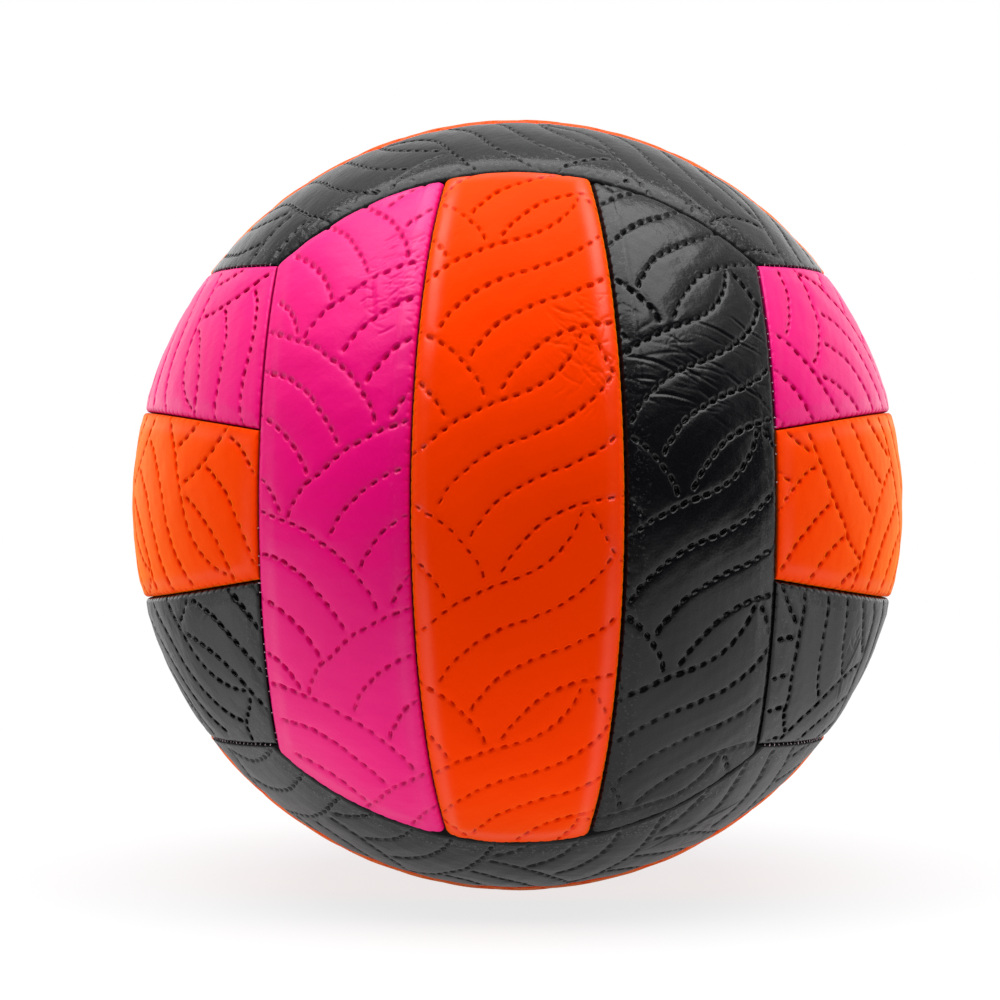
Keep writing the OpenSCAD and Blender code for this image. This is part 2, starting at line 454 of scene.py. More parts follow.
FALLING = (
    ((-42.0, 49.0), (-38.6, 48.2), (-33.4, 46.6), (-26.6, 44.4), (-22.4, 41.8), (-19.3, 40.0), (-16.6, 38.0),
     (-14.3, 35.8), (-12.2, 33.6), (-10.4, 31.0), (-8.8, 28.6), (-7.7, 26.0)),
    ((-41.5, 38.6), (-38.4, 38.2), (-35.4, 37.6), (-33.0, 36.8), (-30.2, 35.4), (-27.0, 33.2), (-24.2, 30.6),
     (-22.2, 28.3), (-20.4, 26.1), (-18.5, 23.7), (-16.8, 20.9)),
    ((-41.0, 28.2), (-36.2, 26.0), (-33.0, 23.8), (-30.6, 21.8), (-28.2, 19.4), (-26.4, 16.8), (-24.8, 14.0)),
    ((-41.2, 14.4), (-37.8, 12.2), (-35.6, 10.2), (-34.0, 7.8), (-32.6, 5.0)),
    ((17.2, 41.4), (19.0, 38.6), (20.7, 35.6), (22.4, 32.4), (24.5, 30.0), (28.0, 27.6)),
)


def even_line(points: np.ndarray, step: float) -> np.ndarray:
    """Runs a smooth line through points and marks it off at even steps.

    Args:
        points: the points, one row each.
        step: the greatest distance between two marks.

    Returns:
        The marks, one row each.
    """
    parts_between = 12
    ends = np.vstack([2 * points[:1] - points[1:2], points, 2 * points[-1:] - points[-2:-1]])
    share = np.linspace(0, 1, parts_between, endpoint=False)[:, None]
    parts = []
    for before, start, end, after in zip(ends, ends[1:], ends[2:], ends[3:]):
        parts.append(0.5 * (2 * start + (end - before) * share
                            + (2 * before - 5 * start + 4 * end - after) * share ** 2
                            + (3 * start - 3 * end + after - before) * share ** 3))
    line = np.vstack([*parts, points[-1:]])
    run = runs(line)
    marks = np.linspace(0, run[-1], max(2, math.ceil(run[-1] / step) + 1))
    return np.stack([np.interp(marks, run, line[:, axis]) for axis in range(points.shape[1])], axis=1)


@dataclass(frozen=True)
class Quilting:
    """The cloth's sewn lines, drawn on one repeat of it as distances in mm.

    The stitches stand about one pitch apart, and the first and the last an inset away from the line's ends. Skew
    and stray say how far a stitch's heading, in radians, and its place scatter. The heading is read between the
    marks that lie so near on both sides. The sheets reach from left to right across the cloth, in cells.
    """

    repeat: float = 43.0
    pitch: float = 3.15
    stitch_length: float = 1.65
    stitch_width: float = 0.68
    inset: float = 0.9
    skew: float = 0.13
    stray: float = 0.07
    left: float = -46.0
    right: float = 32.0
    cell: float = 0.1
    line_step: float = 1.0
    reach: float = 7.0
    near: int = 4
    seed: int = 7

    def _stamp(self, sheet: np.ndarray, start: np.ndarray, end: np.ndarray, radius: float) -> None:
        """Lowers a sheet of distances wherever a straight stretch is nearer.

        Args:
            sheet: the distances, which wrap round from one repeat to the next.
            start: one end of the stretch.
            end: its other end.
            radius: the stretch's own half width.
        """
        low = np.floor((np.minimum(start, end) - self.reach - (self.left, 0)) / self.cell).astype(int)
        high = np.ceil((np.maximum(start, end) + self.reach - (self.left, 0)) / self.cell).astype(int)
        across = np.arange(max(low[0], 0), min(high[0], sheet.shape[1]))
        along = np.arange(low[1], high[1])
        if not len(across):
            return
        there = np.stack(np.meshgrid(across * self.cell + self.left, along * self.cell), axis=-1) - start
        way = end - start
        share = np.clip(there @ way / max(way @ way, 1e-9), 0, 1)
        far = np.linalg.norm(there - share[..., None] * way, axis=-1) - radius
        rows = np.ix_(along % sheet.shape[0], across)
        sheet[rows] = np.minimum(sheet[rows], far)

    @cached_property
    def sheets(self) -> tuple[np.ndarray, np.ndarray]:
        """Distances to the nearest stitch's rim, and to the nearest sewn line."""
        size = round(self.repeat / self.cell), round((self.right - self.left) / self.cell)
        stitches, lines = np.full(size, self.reach), np.full(size, self.reach)
        chance = np.random.default_rng(self.seed)
        for points in (*RISING, *FALLING):
            marks = even_line(np.array(points), self.line_step)
            for start, end in zip(marks, marks[1:]):
                self._stamp(lines, start, end, 0.0)
            fine = even_line(np.array(points), self.cell)
            run = (len(fine) - 1) * np.linalg.norm(fine[1] - fine[0])
            count = max(2, round((run - 2 * self.inset) / self.pitch) + 1)
            for middle in np.linspace(self.inset, run - self.inset, count) / run * (len(fine) - 1):
                at = int(np.clip(round(middle), self.near, len(fine) - 1 - self.near))
                way = fine[at + self.near] - fine[at - self.near]
                turn = math.atan2(way[1], way[0]) + chance.normal(0, self.skew)
                half = (self.stitch_length * chance.uniform(0.8, 1.15) - self.stitch_width) / 2
                arm = np.array([math.cos(turn), math.sin(turn)]) * half
                here = fine[at] + chance.normal(0, self.stray, 2)
                self._stamp(stitches, here - arm, here + arm, self.stitch_width / 2 * chance.uniform(0.82, 1.12))
        return stitches, lines

    def read(self, across: np.ndarray, along: np.ndarray) -> tuple[np.ndarray, np.ndarray]:
        """Reads both sheets.

        Args:
            across: places across the cloth, in mm.
            along: places along it.

        Returns:
            The distances to the nearest stitch's rim and to the nearest sewn line, in mm.
        """
        column = np.clip((across - self.left) / self.cell, 0, self.sheets[0].shape[1] - 1.001)
        row = np.mod(along, self.repeat) / self.cell
        first_column, first_row = column.astype(int), row.astype(int)
        right, up = column - first_column, row - first_row
        found = []
        for sheet in self.sheets:
            rows = sheet.shape[0]
            low, high = first_row % rows, (first_row + 1) % rows
            found.append((sheet[low, first_column] * (1 - right) + sheet[low, first_column + 1] * right) * (1 - up)
                         + (sheet[high, first_column] * (1 - right) + sheet[high, first_column + 1] * right) * up)
        return found[0], found[1]


@dataclass(frozen=True)
class Cut:
    """How a panel was cut from the quilted cloth.

    The panel's middle lies at (across, along) on the cloth, in mm. A turned panel is cut half a turn round, a
    flipped one end for end in the mirror, and stretch is how much cloth goes into a length of the panel.
    """

    across: float
    along: float
    turned: bool = False
    flipped: bool = False
    stretch: float = 1.0

    def on_cloth(self, across: np.ndarray, along: np.ndarray) -> tuple[np.ndarray, np.ndarray]:
        """Takes places on the panel to places on the cloth.

        Args:
            across: places across the panel from its middle, in mm.
            along: places along it.

        Returns:
            The places across and along the cloth.
        """
        side = -1.0 if self.turned else 1.0
        way = -1.0 if self.turned != self.flipped else 1.0
        return side * across + self.across, way * self.stretch * along + self.along


def groove(across: np.ndarray, along: np.ndarray, line: np.ndarray, depth: float, thick: float) -> np.ndarray:
    """Gives how deep one groove is, which fades out at both ends and has a low lip on either side.

    Args:
        across: places across the panel, in mm.
        along: places along it.
        line: the points that the groove follows.
        depth: its greatest depth.
        thick: its half width.

    Returns:
        The depth at each place, in mm.
    """
    reach, lip_place, lip_share, fading = 4 * thick, 2.2 * thick, 0.25, 0.6
    found = np.zeros(across.shape)
    low, high = line.min(axis=0) - reach, line.max(axis=0) + reach
    near = np.nonzero((across > low[0]) & (across < high[0]) & (along > low[1]) & (along < high[1]))
    if not len(near[0]):
        return found
    here = np.stack([across[near], along[near]], axis=-1)
    best, share = np.full(len(here), np.inf), np.zeros(len(here))
    for index, (begin, end) in enumerate(zip(line, line[1:])):
        way = end - begin
        part = np.clip((here - begin) @ way / (way @ way), 0, 1)
        far = np.linalg.norm(here - begin - part[:, None] * way, axis=1)
        closer = far < best
        best[closer] = far[closer]
        share[closer] = (index + part[closer]) / (len(line) - 1)
    fade = np.sin(np.pi * np.clip(share, 0, 1)) ** fading
    found[near] = depth * fade * (swell(best, 0.0, thick) - lip_share * swell(best, lip_place, thick))
    return found


@dataclass(frozen=True)
class Fold:
    """One marked fold that runs through given points of a panel."""

    points: tuple[tuple[float, float], ...]
    depth: float = 0.3
    thick: float = 0.45
    step: float = 1.0

    def depths(self, across: np.ndarray, along: np.ndarray) -> np.ndarray:
        """Gives how deep the fold is.

        Args:
            across: places across the panel, in mm.
            along: places along it.

        Returns:
            The depth at each place, in mm.
        """
        return groove(across, along, even_line(np.array(self.points, float), self.step), self.depth, self.thick)


@dataclass(frozen=True)
class Creases:
    """A patch of fine creases, where the skin has been folded or pressed.

    Its middle, width and length are in mm on the panel. Each crease keeps about to the heading, in degrees, which
    scatters by the spread, and run and depth are a typical crease's length and the greatest depth, in mm. A crease
    bends by so many radians in a mm and wavers about its way.
    """

    across: float
    along: float
    width: float
    length: float
    heading: float
    count: int
    run: float = 14.0
    depth: float = 0.16
    spread: float = 9.0
    seed: int = 1
    bend: float = 0.018
    waver: float = 0.16
    step: float = 1.2

    def depths(self, across: np.ndarray, along: np.ndarray) -> np.ndarray:
        """Gives how deep the creases are.

        Args:
            across: places across the panel, in mm.
            along: places along it.

        Returns:
            The depth at each place, in mm.
        """
        chance = np.random.default_rng(self.seed)
        found = np.zeros(across.shape)
        for _ in range(self.count):
            start = np.array([self.across + chance.uniform(-0.5, 0.5) * self.width,
                              self.along + chance.uniform(-0.5, 0.5) * self.length])
            turn = math.radians(self.heading + chance.normal(0, self.spread))
            bend = chance.normal(0, self.bend)
            run = self.run * chance.uniform(0.45, 1.3)
            deep = self.depth * chance.uniform(0.4, 1.0)
            thick = chance.uniform(0.26, 0.46)
            marks = np.arange(0, run, self.step) - run / 2
            wave, phase = chance.uniform(0.5, 0.9), chance.uniform(0, 6)
            turns = turn + bend * marks + self.waver * np.sin(marks * wave + phase)
            line = start + np.stack([np.cumsum(np.cos(turns)), np.cumsum(np.sin(turns))], axis=1) * self.step
            line -= line.mean(axis=0) - start
            if len(line) > 2:
                found = np.maximum(found, groove(across, along, line, deep, thick))
        return found


# The folds' points are (across, along) in mm on their panel, then depth and half width. The creases' numbers are
# their patch's across, along, width, length, heading, count, and each crease's run, depth, spread and the seed.
FOLDED = (
    Fold(((2.6, 46.4), (9.0, 44.0), (16.0, 40.6), (22.6, 37.2)), 0.24, 0.35),
    Fold(((14.6, 47.6), (24.6, 40.8)), 0.2, 0.35),
    Fold(((-15.0, 36.0), (-8.0, 34.4), (0.0, 31.0)), 0.24, 0.38),
    Fold(((-14.0, 30.5), (-8.0, 30.0)), 0.22, 0.35),
    Fold(((-14.0, 26.5), (-6.0, 26.4), (2.0, 24.5)), 0.24, 0.38),
    Fold(((-4.0, 35.0), (8.0, 28.0)), 0.18, 0.35),
    Fold(((0.0, 38.0), (10.0, 33.0)), 0.2, 0.35),
    Fold(((10.0, 32.0), (20.0, 26.0)), 0.16, 0.35),
    Creases(-5, 32, 24, 20, -14, 24, 12, 0.13, 14, 3),
    Creases(8, 30, 26, 26, -32, 18, 12, 0.1, 9, 4),
    Creases(-8, 44, 18, 20, -20, 12, 6, 0.1, 40, 9))
PRESSED = (
    Fold(((-1.0, -57.0), (-3.0, -51.0), (-4.0, -46.0)), 0.34, 0.7),
    Creases(-7, -57, 16, 16, -150, 34, 7, 0.3, 26, 5),
    Creases(-7, -67, 12, 12, -120, 26, 6, 0.3, 26, 16),
    Creases(-9, -47, 16, 10, 10, 14, 6, 0.22, 24, 15))
SCUFFED = (
    Fold(((8.0, 49.0), (13.0, 46.0)), 0.2),
    Fold(((14.0, 48.0), (20.0, 43.0)), 0.24),
    Fold(((10.0, 37.0), (15.0, 33.0)), 0.2),
    Creases(15, 40, 14, 26, -38, 26, 7, 0.24, 18, 6),
    Creases(16, 36, 13, 30, 52, 22, 6, 0.22, 20, 21),
    Creases(17, 44, 10, 18, -8, 12, 6, 0.18, 16, 22),
    Creases(-16, 60, 10, 26, 80, 14, 5, 0.09, 26, 7))
DENTED = (
    Fold(((-5.0, -48.0), (6.5, -48.8)), 0.3),
    Fold(((6.5, -48.8), (13.0, -42.3)), 0.3),
    Creases(-4, -52, 8, 6, 20, 10, 5, 0.16, 30, 13))
BENT = (
    Fold(((7.0, -34.0), (11.0, -49.0), (10.0, -62.0)), 0.26),
    Creases(0, -48, 12, 16, 15, 14, 6, 0.14, 25, 14))
RUMPLED_LIP = (Creases(24.0, 0, 4, 116, 14, 170, 2.8, 0.3, 60, 12),)
FEW = (Creases(0, 10, 30, 120, -25, 9, 9, 0.12, 30, 8),)


# ---------------------------------------------------------------------------
# Panels
# ---------------------------------------------------------------------------


@dataclass(frozen=True)
class Pattern:
    """The ball's cutting pattern, in mm.

    Every seam lies in a plane, across = start + slope * out, in a face's own axes, where out points away from the
    ball's centre. The seams between two faces bow out by the face bow, and a middle strip narrows from its middle
    width to its end width. A side strip's own middle lies a side turn round from the face's.
    """

    ball_d: float = 210.0
    seam_depth: float = 1.6
    face_bow: float = 2.3
    middle_w: float = 50.0
    middle_end_w: float = 36.0
    edge_r: float = 3.4
    seam_gap: float = 0.3
    lining_r: float = 100.3
    side_turn: float = math.radians(23.7)

    @property
    def ball_r(self) -> float:
        """The radius over the crowns."""
        return self.ball_d / 2

    @property
    def seam_r(self) -> float:
        """The radius on which the seams are set out."""
        return self.ball_r - self.seam_depth

    @cached_property
    def face_seam(self) -> Seam:
        """Start and slope of the seams between two faces."""
        corner = self.seam_r / math.sqrt(3)
        half = corner + self.face_bow
        slope = (half - corner) / (math.sqrt(self.seam_r ** 2 - half ** 2) - corner)
        return corner * (1 - slope), slope

    @cached_property
    def strip_seam(self) -> Seam:
        """Start and slope of the seams between a middle strip and its neighbours."""
        start, slope = self.face_seam
        half, end_half = self.middle_w / 2, self.middle_end_w / 2
        out = math.sqrt(self.seam_r ** 2 - half ** 2)
        square, lean = self.seam_r ** 2 - end_half ** 2, 1 + slope ** 2
        up = (math.sqrt(square * lean - start ** 2) - start * slope) / lean
        strip_slope = (half - end_half) / (out - start - slope * up)
        return half - strip_slope * out, strip_slope

    @property
    def end_axis(self) -> float:
        """How far out the planes of a panel's two ends meet, moved in by half the gap."""
        start, slope = self.face_seam
        return start + self.seam_gap / 2 * math.hypot(1, slope)


class Strip(Enum):
    """Which strip of a face a panel is: the middle one, or the one at its side."""

    MIDDLE = "middle"
    SIDE = "side"


class Face(Enum):
    """The six faces, each with the ways that a face's own X, Y and Z point."""

    FRONT = ((1, 0, 0), (0, 1, 0), (0, 0, 1))
    BACK = ((-1, 0, 0), (0, -1, 0), (0, 0, 1))
    LEFT = ((0, 0, 1), (1, 0, 0), (0, 1, 0))
    RIGHT = ((0, 0, 1), (-1, 0, 0), (0, -1, 0))
    BOTTOM = ((0, 1, 0), (0, 0, 1), (1, 0, 0))
    TOP = ((0, 1, 0), (0, 0, -1), (-1, 0, 0))

    def turn(self, other_side: bool) -> np.ndarray:
        """Gives the turn that takes a strip as drawn to its place.

        Args:
            other_side: whether the strip first goes to the other side of its face.

        Returns:
            The turn as a matrix that stands to the right of rows of points.
        """
        ways = np.array(self.value, float)
        return np.diag([-1.0, 1.0, -1.0]) @ ways if other_side else ways


# How the skin sags between its stitches: the period and the depth of each size of wave, in mm.
SAGS = ((17.0, 0.10), (9.0, 0.07), (5.0, 0.045), (2.9, 0.022))


@dataclass(frozen=True)
class Relief:
    """The depths, widths and places, in mm, of what draws a panel's skin in.

    A pressed stitch makes a pit with a wall and a low rim, and the skin above it hangs into it by the overhang. A
    sewn line draws the skin in narrowly and widely. Both start clear of the seams, and both vary with the tension.
    A crimp follows the low long seam towards one end, and the seams' own stitches tug at the edges.
    """

    pit: float = 0.72
    pit_start: float = 0.3
    pit_wall: float = 0.6
    pit_vary: float = 0.12
    overhang: float = 0.42
    overhang_share: float = 0.32
    rim: float = 0.025
    rim_place: float = 0.5
    rim_w: float = 0.27
    wide: float = 0.26
    wide_w: float = 2.6
    narrow: float = 0.17
    narrow_w: float = 0.8
    line_vary: float = 0.25
    line_clear: float = 3.0
    line_least: float = 0.25
    pit_clear: float = 0.4
    pit_ramp: float = 1.4
    stitch_vary: float = 0.06
    stitch_pull: float = 0.1
    sag_share: float = 0.6
    crimp: float = 0.2
    crimp_place: float = 4.4
    crimp_w: float = 0.42
    crimp_start: float = 12.0
    crimp_ramp: float = 20.0
    tug_pitch: float = 3.1
    tug_w: float = 0.8
    hole_round: float = 0.7


@dataclass
class Panel:
    """One panel: a quilted skin over a foam pad, rolled in along its seams.

    A panel has a low and a high long seam, and a low and a high end. In that order, and in mm, the rolls give
    each rolled edge's width and depth, the shoulders how far the crown sinks towards the seam, and the tugs how
    deep the seam's stitches pull. A skin with more pull is drawn in deeper. One share says how thickly the pale
    flecks lie in a band beside the seams; they stand partly for wear and partly for painted highlight. The share
    shine says how glossy a band there is, and each band has a place and a width. The painted shade of a seam's
    gap reaches up its sides by the seam shade. The mesh has more marks along its edges than on the crown, and its
    underside keeps a gap from the lining and more room over the valve's flange.
    """

    place: str
    face: Face
    strip: Strip
    skin: Skin
    cut: Cut
    other_side: bool = False
    creases: tuple[Creases | Fold, ...] = ()
    pull: float = 1.0
    hole_r: float = 0.0
    wear_and_highlight: float = 0.05
    wear_and_highlight_band: tuple[float, float] = (3.4, 2.2)
    shine: float = 0.2
    shine_band: tuple[float, float] = (2.9, 1.5)
    seam_shade: float = 0.2
    seam_shade_rise: float = 1.3
    crimp_end: int = 0
    rolls: tuple[tuple[float, float], ...] = ((1.2, 1.0), (1.1, 0.8), (1.0, 0.75), (1.0, 0.75))
    shoulders: tuple[float, ...] = (0.55, 0.25, 0.15, 0.15)
    shoulder_w: float = 4.4
    shoulder_curve: float = 1.15
    corner_blend: int = 7
    tugs: tuple[float, ...] = (0.4, 0.14, 0.12, 0.12)
    relief: Relief = Relief()
    pattern: Pattern = field(default_factory=Pattern)
    rows: int = 590
    columns: int = 160
    grid_w: float = 46.0
    edge_marks: tuple[float, ...] = (0.0, 0.03, 0.1, 0.2, 0.34, 0.52, 0.74, 1.0, 1.28, 1.58)
    crown_from: float = 1.9
    spine_marks: int = 2001
    settlings: int = 4
    floor_step: int = 20
    floor_gap: float = 0.1
    flange_r: float = 19.0
    flange_ramp: float = 3.0
    flange_room: float = 1.5

    @property
    def name(self) -> str:
        """The piece's name in the scene."""
        return f"panel_{self.place}"

    def _seams(self) -> tuple[Seam, Seam]:
        """Sets out the planes of the two long seams, moved in by half the gap.

        Returns:
            The start and the slope of each.
        """
        start, slope = self.pattern.strip_seam
        low, high = ((-start, -slope), (start, slope)) if self.strip is Strip.MIDDLE else (
            (start, slope), self.pattern.face_seam)
        shift = self.pattern.seam_gap / 2
        return ((low[0] + shift * math.hypot(1, low[1]), low[1]),
                (high[0] - shift * math.hypot(1, high[1]), high[1]))

    def _shares(self, count: int, width: float) -> np.ndarray:
        """Marks off a width so that the rolled edges get more marks than the crown.

        Args:
            count: how many steps there are.
            width: the width in mm.

        Returns:
            The marks as shares of the width, from 0 to 1.
        """
        edge, crown_from = np.array(self.edge_marks) / width, self.crown_from / width
        crown = np.linspace(crown_from, 1 - crown_from, count + 1 - 2 * len(edge))
        return np.concatenate([edge, crown, 1 - edge[::-1]])

    def _roll(self, gaps: list[np.ndarray]) -> np.ndarray:
        """Gives how far the surface lies under the crown near the seams.

        Args:
            gaps: the distances in mm to the two long seams and the two ends.

        Returns:
            The depth in mm.
        """
        drops = []
        for gap, (width, depth), shoulder in zip(gaps, self.rolls, self.shoulders):
            share = np.clip(gap / width, 0, 1)
            slope = np.clip(1 - gap / self.shoulder_w, 0, 1) ** self.shoulder_curve
            drops.append(shoulder * slope + depth * (1 - np.sqrt(share * (2 - share))))
        blend = self.corner_blend
        return np.minimum(sum(drop ** blend for drop in drops) ** (1 / blend), self.pattern.edge_r)

    def _gaps(self, points: np.ndarray) -> list[np.ndarray]:
        """Measures how far points lie from the panel's two long seams and its two ends.

        Args:
            points: places in the face's own axes, in mm.

        Returns:
            The distances to the two long seams, then to the low and the high end.
        """
        low, high = self._seams()
        slope, axis = self.pattern.face_seam[1], self.pattern.end_axis
        side, out = points[..., 0], -points[..., 1]
        gaps = ((side - low[0] - low[1] * out) / math.hypot(1, low[1]),
                (high[0] + high[1] * out - side) / math.hypot(1, high[1]),
                (out - axis + slope * points[..., 2]) / math.hypot(1, slope),
                (out - axis - slope * points[..., 2]) / math.hypot(1, slope))
        return [np.clip(gap, 0, None) for gap in gaps]

    def on_panel(self, points: np.ndarray) -> tuple[np.ndarray, np.ndarray]:
        """Lays the ball out flat about the panel's own middle.

        Args:
            points: places in the face's own axes, one row each.

        Returns:
            The distances across and along the panel, in mm.
        """
        turn = self.pattern.side_turn if self.strip is Strip.SIDE else 0.0
        unit = points / np.linalg.norm(points, axis=-1, keepdims=True)
        right = unit[..., 0] * math.cos(turn) + unit[..., 1] * math.sin(turn)
        out = unit[..., 0] * math.sin(turn) - unit[..., 1] * math.cos(turn)
        side = np.arcsin(np.clip(right, -1, 1))
        return (self.pattern.ball_r * side,
                self.pattern.ball_r * np.arctan2(unit[..., 2], out) * np.cos(side))

    def _slack(self, across: np.ndarray, along: np.ndarray) -> np.ndarray:
        """Gives the skin's shallow unevenness.

        Args:
            across: places across the panel, in mm.
            along: places along it.

        Returns:
            The depth in mm, never below zero.
        """
        chance = np.random.default_rng(sum(map(ord, self.place)))
        total = np.zeros(across.shape)
        waves = 3
        for period, size in SAGS:
            for _ in range(waves):
                turn, phase = chance.uniform(0, 2 * math.pi, 2)
                pace = 2 * math.pi / (period * chance.uniform(0.8, 1.25))
                run = across * math.cos(turn) + along * math.sin(turn)
                total = total + size / waves * (1 + np.sin(run * pace + phase))
        return total * self.pull * self.relief.sag_share

    def _relief(self, points: np.ndarray, gaps: list[np.ndarray], quilting: Quilting) -> np.ndarray:
        """Gives how far the skin is drawn in by its stitches, its creases and the seams' own stitches.

        Args:
            points: places in the face's own axes, in mm.
            gaps: the distances to the two long seams and the two ends.
            quilting: the quilted cloth.

        Returns:
            The depth in mm.
        """
        sizes, seam = self.relief, np.minimum.reduce(gaps)
        across, along = self.on_panel(points)
        stitch, line = quilting.read(*self.cut.on_cloth(across, along))
        inland = np.clip((seam - sizes.pit_clear) / sizes.pit_ramp, 0, 1)
        # The tension changes slowly over a panel, in waves of about 40 mm across it and 60 mm along it.
        vary = np.sin(across * 0.17 + 1.3 * self.pull + 0.05 * along) * np.sin(along * 0.11 + 2.0 + across * 0.03)
        stitch = stitch - sizes.stitch_vary * vary - sizes.stitch_pull * (self.pull - 1)
        up = self.face.turn(self.other_side)[:, 2]
        above, _ = quilting.read(*self.cut.on_cloth(*self.on_panel(points + sizes.overhang * up)))
        pit, below = (ease((sizes.pit_start - gap) / sizes.pit_wall) for gap in (stitch, above))
        pit = pit + (1 - pit) * sizes.overhang_share * below
        rim = swell(stitch, sizes.rim_place, sizes.rim_w)
        drawn = sizes.wide * np.exp(-line / sizes.wide_w) + sizes.narrow * swell(line, 0.0, sizes.narrow_w)
        drawn = drawn * self.pull * (1 + sizes.line_vary * vary)
        drawn = drawn * np.clip(seam / sizes.line_clear, sizes.line_least, 1)
        depth = drawn + inland * ((sizes.pit + sizes.pit_vary * vary) * pit - sizes.rim * self.pull * rim)
        depth = depth + self._slack(across, along)
        for patch in self.creases:
            depth = depth + patch.depths(across, along) * inland
        fade = np.clip((abs(along) - sizes.crimp_start) / sizes.crimp_ramp, 0, 1) * (along * self.crimp_end > 0)
        depth = depth + sizes.crimp * fade * swell(gaps[0], sizes.crimp_place, sizes.crimp_w)
        for gap, run, deep in zip(gaps, (along, along, across, across), self.tugs):
            tug = np.clip(np.cos(run * 2 * math.pi / sizes.tug_pitch + 0.8 * np.sin(run * 0.23)), 0, 1) ** 2
            depth = depth + deep * tug * swell(gap, 0.0, sizes.tug_w)
        if self.hole_r:
            gap = np.clip(np.hypot(points[..., 0], points[..., 2]) - self.hole_r, 0, sizes.hole_round)
            depth = depth + sizes.hole_round - np.sqrt(gap * (2 * sizes.hole_round - gap))
        return depth

    def _rays(self, lean: np.ndarray, radius: np.ndarray | float,
              planes: tuple[np.ndarray, np.ndarray]) -> np.ndarray:
        """Finds where each row's plane and each column's plane meet on a ball.

        Args:
            lean: the slope of each row's plane, which all go through the axis where the ends' planes meet.
            radius: the ball's radius at each point.
            planes: start and slope of each column's plane.

        Returns:
            The points in the face's own axes.
        """
        (start, slope), axis = planes, self.pattern.end_axis
        square = slope ** 2 + 1 + lean ** 2
        half = start * slope - lean ** 2 * axis
        rest = start ** 2 + (lean * axis) ** 2 - radius ** 2
        out = (-half + np.sqrt(half ** 2 - square * rest)) / square
        return np.stack([start + slope * out, -out, (out - axis) * lean], axis=-1)

    def _surface(self, quilting: Quilting) -> np.ndarray:
        """Works out the grid of the panel's outside.

        Args:
            quilting: the quilted cloth.

        Returns:
            The points in mm in the face's own axes.
        """
        pattern = self.pattern
        low, high = self._seams()
        share = self._shares(self.columns, self.grid_w)[None, :]
        planes = low[0] * (1 - share) + high[0] * share, low[1] * (1 - share) + high[1] * share
        steepest = math.atan(1 / pattern.face_seam[1])
        middle = planes[0][:, share.shape[1] // 2], planes[1][:, share.shape[1] // 2]
        angles = np.linspace(-steepest, steepest, self.spine_marks)
        run = runs(self._rays(np.tan(angles), pattern.ball_r, middle))
        lean = np.tan(np.interp(self._shares(self.rows, run[-1]) * run[-1], run, angles))[:, None]
        lean = lean + np.zeros((lean.shape[0], share.shape[1]))
        radius = np.full(lean.shape, pattern.ball_r)
        # A lower point lies nearer to the seams, which lowers it again, so the edges settle in a few rounds.
        for _ in range(self.settlings):
            points = self._rays(lean, radius, planes)
            gaps = self._gaps(points)
            radius = pattern.ball_r - self._roll(gaps)
        return self._rays(lean, radius - self._relief(points, gaps, quilting), planes)

    def _under(self, top: np.ndarray) -> np.ndarray:
        """Drops points to the lining along their own radii, and keeps clear of the valve's flange round the hole.

        Args:
            top: places in the face's own axes, in mm.

        Returns:
            The places under them.
        """
        far = np.linalg.norm(top, axis=-1, keepdims=True)
        floor = self.pattern.lining_r + self.floor_gap
        if self.hole_r:
            ring = np.hypot(top[..., :1], top[..., 2:])
            floor = floor + self.flange_room * np.clip((self.flange_r - ring) / self.flange_ramp, 0, 1)
        return top / far * floor

    def _faces(self, rows: int, columns: int) -> tuple[list[np.ndarray], list[tuple[int, int]]]:
        """Lists the polygons of the closed panel, the underside coarser than the outside.

        Args:
            rows: how many rows the outer grid has.
            columns: how many columns it has.

        Returns:
            The polygons by their points, and the inner points of the underside as (row, column).
        """
        grid = np.arange(rows * columns).reshape(rows, columns)
        quads = np.stack([grid[:-1, :-1], grid[:-1, 1:], grid[1:, 1:], grid[1:, :-1]], axis=-1).reshape(-1, 4)
        row_marks = [*range(0, rows - self.floor_step // 2, self.floor_step), rows - 1]
        column_marks = [*range(0, columns - self.floor_step // 2, self.floor_step), columns - 1]
        inner = [(row, column) for row in row_marks[1:-1] for column in column_marks[1:-1]]
        numbers = {spot: rows * columns + index for index, spot in enumerate(inner)}

        def side(begin: tuple[int, int], end: tuple[int, int]) -> Iterator[int]:
            """Walks from one corner of an underside cell up to the next, by each point where that is on the rim.

            Args:
                begin: the corner it starts from, as (row, column).
                end: the next corner, which is left out.

            Yields:
                The numbers of the points.
            """
            on_rim = (begin[0] == end[0] and begin[0] in (0, rows - 1)) or (
                begin[1] == end[1] and begin[1] in (0, columns - 1))
            if not on_rim:
                yield numbers.get(begin, int(grid[begin]))
                return
            steps = max(abs(end[0] - begin[0]), abs(end[1] - begin[1]))
            for step in range(steps):
                yield int(grid[begin[0] + (end[0] - begin[0]) * step // steps,
                               begin[1] + (end[1] - begin[1]) * step // steps])

        cells = []
        for low, high in zip(row_marks, row_marks[1:]):
            for left, right in zip(column_marks, column_marks[1:]):
                corners = [(low, left), (high, left), (high, right), (low, right)]
                cells.append(np.array([number for begin, end in zip(corners, corners[1:] + corners[:1])
                                       for number in side(begin, end)]))
        return [*quads, *cells], inner

